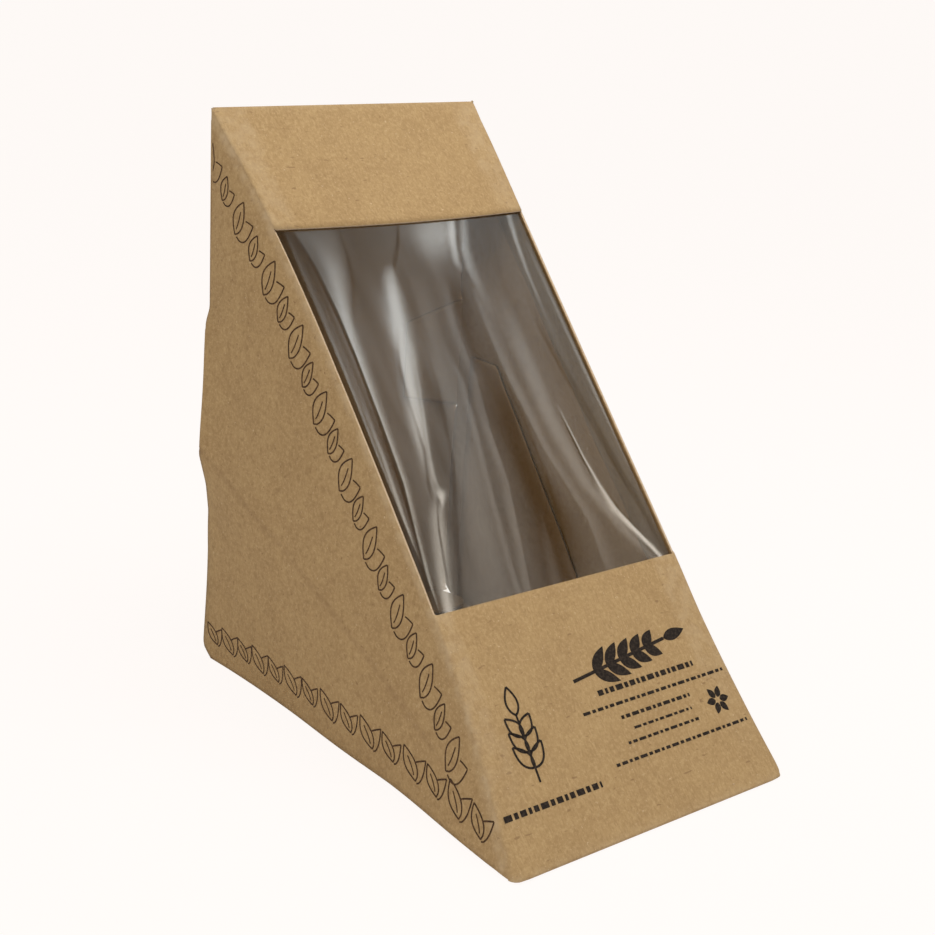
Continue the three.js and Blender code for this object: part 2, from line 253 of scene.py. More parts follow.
# The board's inside, painted darker as the shade inside the box
kraft_inside_shaded = kraft_material("kraft_inside_shaded", shaded_inside_colour, shaded_inside_dark, shaded_inside_light, False)
# The glued flaps' raw edges, painted dark as a shadow line
shadow_edge_colours = (flap_edge_shadow_colour, flap_edge_shadow_colour, shaded_inside_dark)
kraft_flap_shadow_edge = kraft_material("kraft_flap_shadow_edge", *shadow_edge_colours, False)

# The raw edges: the board's sheared core, paler than its face, with fibres standing out of it
kraft_edge, edge_tree = new_material("kraft_raw_edge")
edge_grain = noise(edge_tree, object_place(edge_tree), cut_edge_scale, detail=3.0, roughness=0.7)
edge_colour = mix_colour(edge_tree, edge_grain.ramp(0.45, 0.75) * 0.7, core_colour, face_dark)
finish_matt(edge_tree, edge_colour, 0.85, 0.2, relief_normal(edge_tree, 0.5, 0.00015, edge_grain))


# The carton: one die-cut sheet of kraft board, folded round the foot, up the sloping front and over
# the top, with both side panels and their dust flaps, and the base, whose side flaps are glued in.
# It is a grid of points whose rows run round it from side to side. Lengths are in millimetres.
MM = 0.001
box_width = 70.0
box_depth = 112.5
box_height = 124.8
board = 0.5
seat_gap = 0.3
top_panel = 31.0
bottom_panel = 51.0
fold_radius = 1.7
fold_radius_at_window = 0.8
fold_radius_above = 0.9
fold_softening = 12.0
ridge_radius = 0.55
top_panel_arch = 1.8
side_foot = 1.0
side_head = 1.3
arch_head = 5.1
foot_corner = 3.2
corner_foot = 0.13
left_bow = 5.0
right_bow = 0.5
left_spring = 1.0
right_spring = 0.12
right_tuck = 0.55
crease_swell = 1.8
crease_reach = 70
reach_above = 32.0
reach_below = 13.0
flap_swell = 1.1
flap_reach = 12
foot_swell = 1.3
foot_swell_height = 26
foot_reach = 22
unevenness = 0.16
rear_reach = 0.65
lowest_edge = 0.2
dust_flap_foot = 50.5
dust_flap_head = 77.0
dust_flap_depth = 17.0
dust_flap_taper = 4.0
dust_fold_radius = 0.55
glue_flap_head = 64.0
glue_flap_head_length = 9.5
glue_flap_lean = 0.8
glue_flap_rear = 5.0
glue_strip_height = 9.0
glue_strip_front = 10.0
glue_fold_radius = 0.6
lip_drop = 3.2

slope_length = math.hypot(box_height, box_depth)
rise = box_height / slope_length
slope_out = math.atan2(box_depth, -box_height)
crease_slope = math.tan(math.atan2(box_height, box_depth) / 2)
back = box_depth / 2
dust_flap_face = back - board - seat_gap
raw_rear = dust_flap_face - dust_fold_radius
glue_rear = raw_rear - glue_flap_rear
window_sill = bottom_panel * rise
window_head = box_height - top_panel * rise
side_tip = box_height - side_head


def clamp01(value):
    return np.clip(value, 0.0, 1.0)


def smooth(value, low, high):
    share = clamp01((value - low) / (high - low))
    return share * share * (3 - 2 * share)


def front_y(z):
    return -back + box_depth * z / box_height


def wavy(a, b, seed):
    """A soft unevenness of handled board, between about -1 and 1, from a few crossing waves."""
    rng = np.random.default_rng(seed)
    total = np.zeros(np.broadcast(a, b).shape)
    for _ in range(7):
        angle, phase = rng.uniform(0, 2 * math.pi, 2)
        length = rng.uniform(14, 46)
        total = total + np.sin((a * math.cos(angle) + b * math.sin(angle)) / length * 2 * math.pi + phase)
    return total / 3.2


def side_shift(side, y, z):
    """How far a side panel stands out from its flat place, in millimetres."""
    bow = left_bow if side < 0 else right_bow
    spring = left_spring if side < 0 else right_spring
    front = front_y(z)
    behind_fold = clamp01((y - front) / np.maximum(1, raw_rear - front))
    ahead = np.maximum(0, raw_rear - y)
    drawn_in = bow * (1 - np.abs(2 * z / box_height - 1) ** 3) * (1 - behind_fold) ** 2
    above = z - (y + back) * crease_slope
    reach = np.where(above > 0, reach_above, reach_below)
    from_crease = np.hypot(above, 1.5) - 1.5
    crease = crease_swell * clamp01(1 - from_crease / reach) * clamp01(1 - ahead / crease_reach) ** 2
    from_below = clamp01((z - dust_flap_foot) / 9 + 1)
    from_above = clamp01((dust_flap_head - z) / 4.5 + 1)
    flap = flap_swell * np.minimum(from_below, from_above) * clamp01(1 - ahead / flap_reach) ** 2
    foot = foot_swell * clamp01(1 - z / foot_swell_height) * clamp01(1 - ahead / foot_reach) ** 2
    uneven = unevenness * wavy(y, z, 11 if side < 0 else 12) * clamp01((y - front) / 8)
    tucked = right_tuck * clamp01(1 - ahead / flap_reach) ** 2 if side > 0 else 0.0
    return (crease + flap + foot) * spring - drawn_in + uneven - tucked


def side_x(side, y, z, inset=0.0):
    return side * (box_width / 2 + side_shift(side, y, z) - inset)


def fold_radius_at(z):
    """The radius of the fold between slope and side: tight beside the window and softer elsewhere."""
    away = max(0.0, window_sill - z, z - window_head)
    share = float(smooth(away, 0, fold_softening))
    softest = fold_radius if z < window_sill else fold_radius_above
    soft = fold_radius_at_window + (softest - fold_radius_at_window) * share
    return max(ridge_radius, min(soft, (raw_rear - front_y(z)) * 0.4))


def rear_y(z):
    """A side panel's rear edge: rounded at its foot, and further back where no dust flap holds it."""
    drop = max(0.0, foot_corner - (z - side_foot))
    from_flap = max(0.0, dust_flap_foot - z, z - dust_flap_head)
    reach = rear_reach * float(smooth(from_flap, 0.2, 1.6))
    return raw_rear + reach - foot_corner + math.sqrt(max(0.0, foot_corner**2 - drop**2))


def stops_across(outer_lanes, middle_cells):
    """The columns of a sheet: lane, side and the share of the lane's length."""
    stops = []
    for lane, cells in outer_lanes:
        stops += [(lane, -1, i / cells) for i in range(cells)]
    stops += [("middle", 0, i / middle_cells) for i in range(middle_cells + 1)]
    for lane, cells in reversed(outer_lanes):
        stops += [(lane, 1, 1 - i / cells) for i in range(1, cells + 1)]
    return stops


def level_row(z, stops, inset=0.0, radius=None, rear=None, push=lambda along, z: 0.0):
    """A row round both folds at one height, at a depth inside the board's outer face."""
    front = front_y(z) + inset / rise
    radius = fold_radius_at(z) if radius is None else radius
    rear = max(rear_y(z), front + radius + 0.05) if rear is None else rear
    corners = [side_x(side, front + radius, z, inset) - side * radius for side in (-1, 1)]
    row = []
    for lane, side, along in stops:
        if lane == "middle":
            x = corners[0] + (corners[1] - corners[0]) * along
            row.append((x, front + push(along, z), z))
        elif lane == "fold":
            turn = along * math.pi / 2
            x = corners[0 if side < 0 else 1] + side * radius * math.cos(turn)
            row.append((x, front + radius * (1 - math.sin(turn)), z))
        elif lane == "side":
            y = rear + (front + radius - rear) * along
            row.append((side_x(side, y, z, inset), y, z))
        else:
            row.append(dust_flap_point(z, lane, side, along))
    return row


def dust_flap_point(z, lane, side, along):
    """A point of a dust flap, or of the fold that carries it, at the height z of the side panel."""
    fold_x = side_x(side, raw_rear, z) - side * dust_fold_radius
    if lane == "dust_fold":
        turn = (1 - along) * math.pi / 2
        x = fold_x + side * dust_fold_radius * math.cos(turn)
        return (x, raw_rear + dust_fold_radius * math.sin(turn), z)
    share = float(clamp01((z - dust_flap_foot) / (dust_flap_head - dust_flap_foot)))
    tip_x = side * (box_width / 2 - dust_flap_depth)
    narrowed = z + dust_flap_taper * (1 - along) * (1 - 2 * share)
    return (tip_x + (fold_x - tip_x) * along, dust_flap_face, narrowed)


def glue_flap_top(y):
    """The height of the base's glued flap: a low strip that rises to a tab at the rear."""
    ahead = glue_rear - glue_flap_head_length - y
    return float(np.clip(glue_flap_head - ahead / glue_flap_lean, glue_strip_height, glue_flap_head))


def base_row(y, stops):
    """A row across the base and up both of its glued flaps."""
    inset = board + seat_gap
    fold_x = box_width / 2 - inset - glue_fold_radius
    top = glue_flap_top(y)
    row = []
    for lane, side, along in stops:
        if lane == "middle":
            row.append((-fold_x + 2 * fold_x * along, y, 0.0))
        elif lane == "fold":
            turn = along * math.pi / 2
            x = side * (fold_x + glue_fold_radius * math.cos(turn))
            row.append((x, y, glue_fold_radius * (1 - math.sin(turn))))
        else:
            z = top + (glue_fold_radius - top) * along if lane == "side" else top
            shift = side_shift(side, y, z) * smooth(z, glue_fold_radius, glue_strip_height)
            row.append((side * (box_width / 2 - inset + float(shift)), y, z))
    return row


def ridge_row(y, z, stops, side_radius, foremost=None):
    """A row along the foot or the crest, carried round the corners where the foremost y is given."""
    ends = [-box_width / 2, box_width / 2]
    corner_radius = 0.0
    if foremost is not None:
        ends = [side_x(side, foremost + side_radius, slope_foot) for side in (-1, 1)]
        corner_radius = side_radius - (y - foremost)
    ends = [ends[0] + side_radius, ends[1] - side_radius]
    row = []
    for lane, side, along in stops:
        turned = along if lane == "fold" else 0.0
        turn = turned * math.pi / 2
        if lane == "middle":
            row.append((ends[0] + (ends[1] - ends[0]) * along, y, z))
        else:
            x = ends[0 if side < 0 else 1] + side * min(corner_radius, side_radius) * math.cos(turn)
            height = z * (corner_foot + (1 - corner_foot) * turned) if corner_radius else z
            row.append((x, y + corner_radius * (1 - math.sin(turn)), height))
    return row


def spaced(keys, step):
    """All the keys, with even steps between them that are no longer than step."""
    values = [keys[0]]
    for start, end in zip(keys, keys[1:]):
        cells = max(1, math.ceil(abs(end - start) / step - 1e-9))
        values += [start + (end - start) * k / cells for k in range(1, cells + 1)]
    return values


def in_band(row, following, low, high):
    """Whether the cells between two rows of the front and sides lie between two heights."""
    if row[0] != "front" or following[0] != "front":
        return False
    return row[1] > low - 1e-6 and following[1] < high + 1e-6


def arch_push(along, z):
    """The free edge above the window stands out a little in its middle."""
    if z < window_head - 1e-6:
        return 0.0
    arch_end = box_height - arch_head
    share = max(0.0, min(1.0, (arch_end - z) / (arch_end - window_head))) ** 2
    return -top_panel_arch * share * math.sin(math.pi * along) / rise


def sheet_object(name, points, is_open, thickness, materials, first_material=lambda r, c: 0):
    """A mesh object over a grid of points in millimetres, with a thickness and smooth shading.

    A cell's first material is its face's, and the next two are its inside's and its raw edge's.
    """
    rows, columns = points.shape[:2]
    faces = []
    slots = []
    for r in range(rows - 1):
        for c in range(columns - 1):
            if not is_open(r, c):
                faces.append(((r, c), (r, c + 1), (r + 1, c + 1), (r + 1, c)))
                slots.append(first_material(r, c))
    used = sorted({corner for face in faces for corner in face})
    number = {corner: index for index, corner in enumerate(used)}
    mesh = bpy.data.meshes.new(name)
    corners = [tuple(points[corner] * MM) for corner in used]
    mesh.from_pydata(corners, [], [[number[corner] for corner in face] for face in faces])
    for material in materials:
        mesh.materials.append(material)
    mesh.polygons.foreach_set("use_smooth", [True] * len(mesh.polygons))
    mesh.polygons.foreach_set("material_index", slots)
    sheet = new_object(name, mesh)
    solidify = sheet.modifiers.new("board", "SOLIDIFY")
    solidify.thickness = thickness * MM
    solidify.offset = -1
    solidify.use_even_offset = True
    solidify.material_offset = min(1, len(materials) - 1)
    solidify.material_offset_rim = min(2, len(materials) - 1)
    return sheet


carton_stops = stops_across([("dust_flap", 6), ("dust_fold", 4), ("side", 56), ("fold", 6)], 36)
foot_centre = (-back + ridge_radius * (slope_length + box_depth) / box_height, ridge_radius)
crest_centre = (back - ridge_radius, box_height - ridge_radius * (slope_length + box_height) / box_depth)
slope_foot = foot_centre[1] + ridge_radius * math.sin(slope_out)
slope_crest = crest_centre[1] + ridge_radius * math.sin(slope_out)
ridge_cells = 6
carton_rows = []  # each row's kind, its y or z, and its points


def add_ridge(label, centre, turn, side_radius, foremost=None):
    y = centre[0] + ridge_radius * math.cos(turn)
    z = centre[1] + ridge_radius * math.sin(turn)
    carton_rows.append((label, 0.0, ridge_row(y, z, carton_stops, side_radius, foremost)))


tab_front = glue_rear - glue_flap_head_length
strip_rear = tab_front - (glue_flap_head - glue_strip_height) * glue_flap_lean
base_keys = [back, glue_rear, tab_front, strip_rear, -back + glue_strip_front, foot_centre[0]]
base_step = 2.5
for y in spaced(base_keys, base_step):
    carton_rows.append(("base", y, base_row(y, carton_stops)))
straight_down = 1.5 * math.pi
foremost = foot_centre[0] + ridge_radius * math.cos(slope_out)
for i in range(1, ridge_cells):
    turn = straight_down + (slope_out - straight_down) * i / ridge_cells
    add_ridge("foot", foot_centre, turn, fold_radius, foremost)
foot_keys = [side_foot + foot_corner * share for share in (0.1, 0.4, 1.0)]
flap_keys = [dust_flap_foot, dust_flap_head]
front_keys = [slope_foot, side_foot, *foot_keys, window_sill, *flap_keys, window_head, side_tip, slope_crest]
front_step = 1.1
for z in spaced(front_keys, front_step):
    carton_rows.append(("front", z, level_row(z, carton_stops, push=arch_push)))
for i in range(1, ridge_cells + 1):
    add_ridge("crest", crest_centre, slope_out * (1 - i / ridge_cells), ridge_radius)
carton_rows.append(("crest", 0.0, ridge_row(back, box_height - lip_drop, carton_stops, ridge_radius)))


def carton_open(r, c):
    """Whether the sheet has no board in a cell: the window, and what the die cuts away round it."""
    lane = carton_stops[c + 1][0] if carton_stops[c + 1][1] == 1 else carton_stops[c][0]
    row, following = carton_rows[r], carton_rows[r + 1]
    in_window = in_band(row, following, window_sill, window_head)
    if lane == "middle":
        return in_window
    if lane in ("dust_flap", "dust_fold"):
        return not in_band(row, following, dust_flap_foot, dust_flap_head)
    if row[0] == "base" and following[0] == "base":
        return row[1] > glue_rear + 1e-6 or following[1] < -back + glue_strip_front - 1e-6
    if lane == "fold" and row[0] in ("foot", "front") and following[1] < side_foot + 1e-6:
        return False
    return (lane == "fold" and in_window) or not in_band(row, following, side_foot, side_tip)


def carton_finish(r, c):
    """The first of a cell's materials. The flaps that are folded in show no bright raw edges:
    the dust flaps' take the inside's painted shade, and the glued flaps' are painted dark as a shadow
    line.
    """
    if "dust_flap" in (carton_stops[c][0], carton_stops[c + 1][0]):
        return 3
    glued_in = carton_rows[r][0] == "base" and "side" in (carton_stops[c][0], carton_stops[c + 1][0])
    return 6 if glued_in else 0


carton_points = np.array([row[2] for row in carton_rows], dtype=float)
# The side panels reach down to the table, and so do the corners, where they run into the foot.
lowest = [row[1] for row in carton_rows].index(side_foot)
lowering = side_foot - lowest_edge
for index, (lane, side, along) in enumerate(carton_stops):
    if lane == "side":
        carton_points[lowest, index, 2] -= lowering
    elif lane == "fold":
        carton_points[lowest - 1:lowest + 1, index, 2] -= lowering * (1 - along)

# The handled corners: the front left foot is crushed round, and the right one has a small dent. The
# foot of the front is spread outwards and forwards.
splay_start = -15.0
splay_length = 40.0
splay_power = 1.3
left_splay = 2.4
right_splay = 1.0
front_splay = 2.0
corner_dents = (
    # each dent's centre, radius and move
    ((-35, -55.5, 0), 4, (0.3, 0.2, 0.0)),
    ((-31, -54, 1.5), 4, (0.0, -0.35, 0.25)),
    ((-35, -51, 3), 4, (0.3, 0.0, 0.0)),
    ((35, -55.5, 0), 4, (-0.2, 0.2, 0.1)),
)


def dent(points, centre, radius, move):
    """Moves the points near a centre, most at the centre itself."""
    near = smooth(1 - np.linalg.norm(points - np.array(centre), axis=2) / radius, 0, 1)
    return points + near[..., None] * np.array(move)


def splayed(points):
    """Spreads the foot of the front, where the handled box stands a little wider and further out."""
    x, y, z = points[..., 0], points[..., 1], points[..., 2]
    share = (clamp01((splay_start - y) / splay_length) * clamp01(1 - z / window_sill)) ** splay_power
    sideways = np.where(x < 0, left_splay, right_splay) * x / (box_width / 2)
    moves = np.stack([sideways, np.full_like(x, -front_splay), np.zeros_like(x)], axis=-1)
    return points + share[..., None] * moves


for centre, radius, move in corner_dents:
    carton_points = dent(carton_points, centre, radius, move)
carton_points = splayed(carton_points)
carton_board = [kraft_face, kraft_inside_shaded, kraft_edge] + [kraft_inside_shaded] * 5 + [kraft_flap_shadow_edge]
carton = sheet_object("carton_sheet", carton_points, carton_open, board, carton_board, carton_finish)


def mesh_places(mesh):
    """The x, y and z of a mesh's vertices, in millimetres."""
    coordinates = np.empty(len(mesh.vertices) * 3)
    mesh.vertices.foreach_get("co", coordinates)
    return (coordinates.reshape(-1, 3) / MM).T


def set_attribute(mesh, name, values):
    attribute = mesh.attributes.new(name, "FLOAT", "POINT")
    attribute.data.foreach_set("value", np.ascontiguousarray(values, dtype=np.float32))


def near_line(distance, width):
    return np.exp(-((distance / width) ** 2))


# Where the face is paler along the folds and edges, partly scuffed wear and partly a painted highlight on
# the side folds, and where painted shade darkens the flat-pack crease
x, y, z = mesh_places(carton.data)
fold_wear_and_highlight = near_line((y - front_y(z)) * rise - 0.9, 1.1) * 0.8
wear_and_highlight = np.where(np.abs(x) > box_width / 2 - 8, fold_wear_and_highlight, 0)
wear_and_highlight = np.maximum(wear_and_highlight, near_line(y - back, 0.8) * (z > 118))
wear_and_highlight = np.maximum(wear_and_highlight, near_line(z, 1.0) * near_line(y + back, 1.6))
# The painted shade along the diagonal flat-pack crease of the side panels
crease_shade_line = near_line(z - (y + back) * crease_slope, 0.55)
set_attribute(carton.data, "wear_and_highlight", wear_and_highlight)
set_attribute(carton.data, "crease", crease_shade_line * (np.abs(x) > 25) * smooth(y, -44, -20))
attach(carton, "box")
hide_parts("carton")


# The rear lid: the back panel of the same board, which hangs from a fold under the top edge, with a
# tuck flap at its foot. Its solid has the right form already and only takes the board's finish.
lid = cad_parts["rear_lid"]
# The lid's inner side takes the inside's colour, painted darker as the shade inside the box
through_lid = ((back - board * 0.7) * MM, (back - board * 0.3) * MM)
lid_board = kraft_material("kraft_lid", face_colour, face_dark, face_light, False, through_lid)
lid.data.materials.clear()
lid.data.materials.append(lid_board)


# The window film: a thin clear film, glued inside the strips and the side panels, and drawn into
# long ripples down the slope, with a few pinches. The places are in millimetres from the middle of
# the window, and down the slope from the top edge.
film_thickness = 0.1
film_corner = 1.2
film_seat = 0.08
film_leg = 10.0
film_overlap = 7.0
film_step = 0.5
film_sag = 0.3
arch_run = 34
fold_end = 1.5
fold_sharpness = 2.6
glued_from = 115
film_stops = stops_across([("side", 6), ("fold", 4)], 250)

# Each fold of the film, as rows of: distance down the slope, x, half width to the left, half width to
# the right, and sheen. The sheen is a painted reflection: the film mirrors more where it is above zero,
# and less where it is below, which paints the folds' bright streaks and dark lines.
film_folds = dict(
    left_line=[
        (29, -27.6, 0.5, 0.9, 0), (33, -26.6, 0.5, 3.2, 0.1), (41, -25.3, 0.4, 3.6, 0.13),
        (52, -24.5, 0.35, 2.2, 0.17), (62, -24.2, 0.35, 1.6, 0.18), (76, -24.6, 0.35, 1.2, 0.15),
        (90, -25.3, 0.4, 1, 0.16), (104, -27.4, 0.4, 0.8, 0.13), (117, -29.5, 0.35, 0.6, 0.13),
    ],
    left_line_low=[
        (70, -27.1, 0.4, 0.6, 0), (84, -27.4, 0.35, 0.5, 0.1), (100, -28.6, 0.35, 0.5, 0.2),
        (117, -30.4, 0.3, 0.4, 0.18),
    ],
    left_groove=[
        (30, -30, 0.9, 0.7, -0.055), (50, -29.5, 0.8, 0.7, -0.055), (80, -29.4, 0.7, 0.6, -0.05),
        (118, -32, 0.7, 0.5, -0.05),
    ],
    left_groove_inner=[
        (33, -27.6, 0.4, 0.4, -0.02), (50, -26.4, 0.5, 0.5, -0.035), (70, -25.9, 0.5, 0.5, -0.035),
        (100, -26.3, 0.4, 0.5, -0.03), (118, -28.6, 0.3, 0.4, -0.03),
    ],
    left_glint=[
        (33, -28.9, 0.3, 0.35, 0.02), (50, -28.1, 0.35, 0.4, 0.045), (90, -28.6, 0.3, 0.4, 0.06),
        (118, -31.2, 0.3, 0.3, 0.08),
    ],
    left_glint_outer=[
        (36, -30.6, 0.25, 0.3, 0), (56, -30.6, 0.25, 0.3, 0.03), (90, -30.9, 0.25, 0.3, 0.05),
        (118, -32.8, 0.25, 0.3, 0.06),
    ],
    corner_patch=[
        (28, -23, 3.8, 5.5, 0.05), (34, -22.5, 3.5, 4.6, 0.075), (42, -21.8, 3.2, 2.6, 0.065),
        (50, -22.2, 2.2, 1.1, 0.045), (60, -23.2, 1.2, 0.8, 0),
    ],
    corner_edge=[
        (30, -16.8, 0.6, 0.5, -0.01), (39, -17.2, 0.5, 0.5, -0.03), (46, -18.5, 0.5, 0.5, -0.035),
        (53, -21.2, 0.5, 0.5, -0.02), (58, -22.4, 0.4, 0.4, 0),
    ],
    top_groove=[
        (27, -0.2, 0.5, 0.35, -0.03), (36, -3.7, 0.5, 0.35, -0.05), (41, -6.4, 0.4, 0.4, -0.04),
        (43, -7.2, 0.3, 0.3, 0),
    ],
    top_patch=[
        (26, 8, 7, 4, 0.04), (31, 8.4, 6.5, 3.6, 0.1), (35, 7.4, 6.5, 4, 0.145), (38, 5.8, 5, 3.6, 0.1),
        (42, 5, 4, 3.6, 0.02), (46, 5, 3, 3, 0),
    ],
    top_glint=[
        (27, 14.6, 1, 0.9, 0.1), (32, 12.6, 1.3, 0.7, 0.19), (37, 10.7, 1.2, 0.8, 0.21),
        (42, 9.6, 1, 0.8, 0.12), (45, 9.9, 0.7, 0.7, 0),
    ],
    top_second=[
        (27, 18.6, 1, 1.3, 0.06), (33, 15.4, 0.9, 1.3, 0.09), (39, 12.8, 0.8, 1.6, 0.13),
        (44, 12.2, 0.8, 1.8, 0.09), (50, 13, 0.7, 1.6, 0.03), (58, 14.4, 0.7, 1.6, 0),
    ],
    centre=[
        (41, -7.8, 1.2, 0.6, 0), (44, -8.8, 2, 1.2, 0.13), (49, -10.3, 2.4, 2.2, 0.24),
        (55, -11.4, 2.3, 2.5, 0.28), (62, -12.6, 1.9, 2.7, 0.25), (70, -14.6, 2, 2.3, 0.26),
        (78, -16.2, 2, 1.9, 0.23), (86, -17.8, 1.8, 1.4, 0.14), (93, -18.9, 1.5, 1.4, 0.07),
        (97, -19.2, 1.1, 1, 0.03),
    ],
    centre_dark=[
        (52, -10, 0.3, 0.3, 0), (60, -13.2, 0.35, 0.35, -0.08), (66, -15.2, 0.3, 0.35, -0.1),
        (74, -16.4, 0.35, 0.4, -0.08), (84, -17.2, 0.7, 0.4, -0.12), (91, -19.3, 0.6, 0.5, -0.08),
        (96, -20.2, 0.5, 0.4, 0),
    ],
    centre_rim=[
        (62, -9.9, 0.4, 0.35, 0.02), (72, -12.6, 0.3, 0.35, 0.07), (82, -15.6, 0.3, 0.4, 0.08),
        (90, -17.6, 0.3, 0.4, 0.09), (95, -17.5, 0.3, 0.5, 0),
    ],
    pinch=[
        (92.4, -17.6, 0.8, 0.9, 0), (93.8, -17.6, 1.5, 1.3, 0.22), (95.2, -17.9, 0.9, 0.8, 0.25),
        (97, -18.6, 0.5, 0.4, 0),
    ],
    below_pinch=[
        (94, -18.6, 1.7, 1.3, 0), (98, -20.2, 1.9, 1.4, 0.13), (104, -22.4, 1.9, 1.7, 0.15),
        (110, -24.6, 1.5, 1.5, 0.17), (117, -26.6, 1, 1.2, 0.26),
    ],
    below_pinch_dark=[
        (96, -19.4, 0.3, 0.3, -0.08), (101, -21.4, 0.35, 0.3, -0.14), (107, -23.1, 0.3, 0.4, -0.13),
        (113, -24.6, 0.3, 0.3, -0.1), (118, -26.2, 0.3, 0.3, 0),
    ],
    pale_band=[
        (44, -3, 3, 2.6, 0), (58, -4, 3, 2.4, 0.02), (75, -5.4, 3.6, 3, 0.03), (90, -8.6, 4.8, 3.8, 0.042),
        (104, -12, 5.4, 4.2, 0.044), (118, -15, 6, 4.6, 0.038),
    ],
    pale_band_rim=[
        (60, -2.2, 0.8, 0.5, 0), (70, -1, 0.9, 0.6, 0.03), (82, -3, 0.9, 0.7, 0.035),
        (98, -6, 0.8, 0.7, 0.03), (118, -9.2, 0.8, 0.7, 0.03),
    ],
    band_groove=[
        (60, -6.2, 0.5, 0.6, 0), (72, -8, 0.5, 0.5, -0.02), (88, -11.7, 0.5, 0.5, -0.025),
        (104, -18.4, 0.6, 0.6, -0.03), (118, -23.6, 0.7, 0.7, -0.035),
    ],
    lens_left_rim=[
        (46, 4.8, 1.4, 0.6, 0), (56, 3, 1.6, 0.6, 0.025), (70, 2.6, 1.6, 0.5, 0.035),
        (84, 0.4, 1.7, 0.4, 0.04), (95, -0.6, 1.6, 0.4, 0.04), (118, -6.3, 1.6, 0.4, 0.035),
    ],
    lens=[
        (45, 7.2, 0.6, 0.8, 0), (50, 7.4, 2, 2, -0.03), (60, 7.2, 3, 3.4, -0.035), (70, 7.2, 2.8, 3, -0.05),
        (80, 6.4, 4, 4.4, -0.065), (92, 6, 4.4, 4.8, -0.07), (104, 6, 5.4, 6.6, -0.07),
        (112, 4.6, 5.6, 7.6, -0.06), (120, 3, 6, 6.5, -0.05),
    ],
    lens_fold=[
        (66, 9.6, 0.4, 0.4, 0), (80, 10.6, 0.3, 0.3, -0.03), (94, 9.9, 0.3, 0.3, -0.03),
        (104, 8.5, 0.3, 0.3, -0.03), (118, 6.4, 0.3, 0.3, -0.03),
    ],
    lens_wedge=[
        (99, 5.6, 0.4, 0.4, 0), (106, 3.6, 0.8, 0.8, 0.02), (118, 0.6, 1.6, 1.6, 0.04),
    ],
    lens_right_rim=[
        (50, 11.4, 0.6, 1.6, 0.02), (62, 11.4, 0.5, 1.8, 0.035), (74, 11.6, 0.4, 1.8, 0.045),
        (88, 12.5, 0.4, 1.6, 0.04), (98, 14.6, 0.4, 1.6, 0.035), (106, 16, 0.4, 1.8, 0.035),
        (118, 15, 0.4, 2.4, 0.02),
    ],
    right_band=[
        (50, 18.5, 2.2, 2.2, 0), (64, 17.8, 2.4, 2.4, 0.036), (82, 17.4, 2.2, 2.4, 0.055),
        (98, 19.4, 1.8, 1.4, 0.065), (110, 24.4, 1.6, 0.9, 0.06), (118, 29, 1.4, 0.6, 0.04),
    ],
    right_streak=[
        (79, 20.9, 0.35, 0.3, 0), (85, 21.2, 0.4, 0.35, 0.16), (92, 21.6, 0.5, 0.45, 0.24),
        (99, 22.7, 0.8, 0.55, 0.26), (105, 24.3, 1.3, 0.6, 0.3), (110, 26.8, 1, 0.6, 0.42),
        (115, 29.6, 0.7, 0.5, 0.5), (119, 31.4, 0.5, 0.4, 0.45),
    ],
    right_streak_dark=[
        (100, 23.6, 0.3, 0.3, 0), (106, 25.3, 0.25, 0.25, -0.2), (112, 28.4, 0.25, 0.25, -0.26),
        (118, 31.2, 0.2, 0.2, -0.2),
    ],
    top_right=[
        (26, 31, 0.6, 0.6, 0), (31, 30.4, 0.8, 0.9, 0.12), (38, 29.2, 0.6, 0.8, 0.14),
        (46, 28.4, 0.5, 0.7, 0.09), (56, 28.2, 0.5, 0.6, 0.03), (66, 28.6, 0.5, 0.6, 0),
    ],
    right_groove=[
        (46, 25.4, 0.9, 0.9, 0), (62, 26, 0.9, 0.9, -0.025), (80, 27.8, 0.8, 0.9, -0.035),
        (96, 29.9, 0.8, 0.8, -0.045), (112, 31.9, 0.7, 0.7, -0.045), (119, 32.6, 0.5, 0.5, -0.03),
    ],
    right_rim=[
        (40, 32, 0.4, 0.5, 0.02), (60, 32.2, 0.4, 0.5, 0.06), (80, 32.7, 0.35, 0.5, 0.09),
        (100, 33.2, 0.35, 0.5, 0.13), (118, 33.6, 0.3, 0.5, 0.16),
    ],
)
# How far each fold stands in from the film's flat place, for each unit of its sheen
film_relief = dict(
    left_line=-1.6, left_groove=3, corner_patch=-3.2, top_groove=4, top_patch=-3.4, top_glint=-1.3,
    centre=-1, below_pinch=-0.4, pinch=-1, pale_band=-5, lens=6, right_band=-2.5, right_streak=-0.9,
    right_groove=4.5, top_right=-1.8,
)


def fold_sheen(name, x, down):
    """The painted sheen of one fold at a place on the film, and nothing beyond its ends."""
    downs, *columns = np.array(film_folds[name], dtype=float).T
    middle, to_left, to_right, sheen = (np.interp(down, downs, column) for column in columns)
    first = downs[0]
    last = downs[-1] if downs[-1] < glued_from else slope_length
    inside = smooth(down, first - fold_end, first) * (1 - smooth(down, last, last + fold_end))
    spread = np.where(x < middle, to_left, to_right)
    return sheen * inside * np.exp(-(np.abs((x - middle) / spread) ** fold_sharpness))


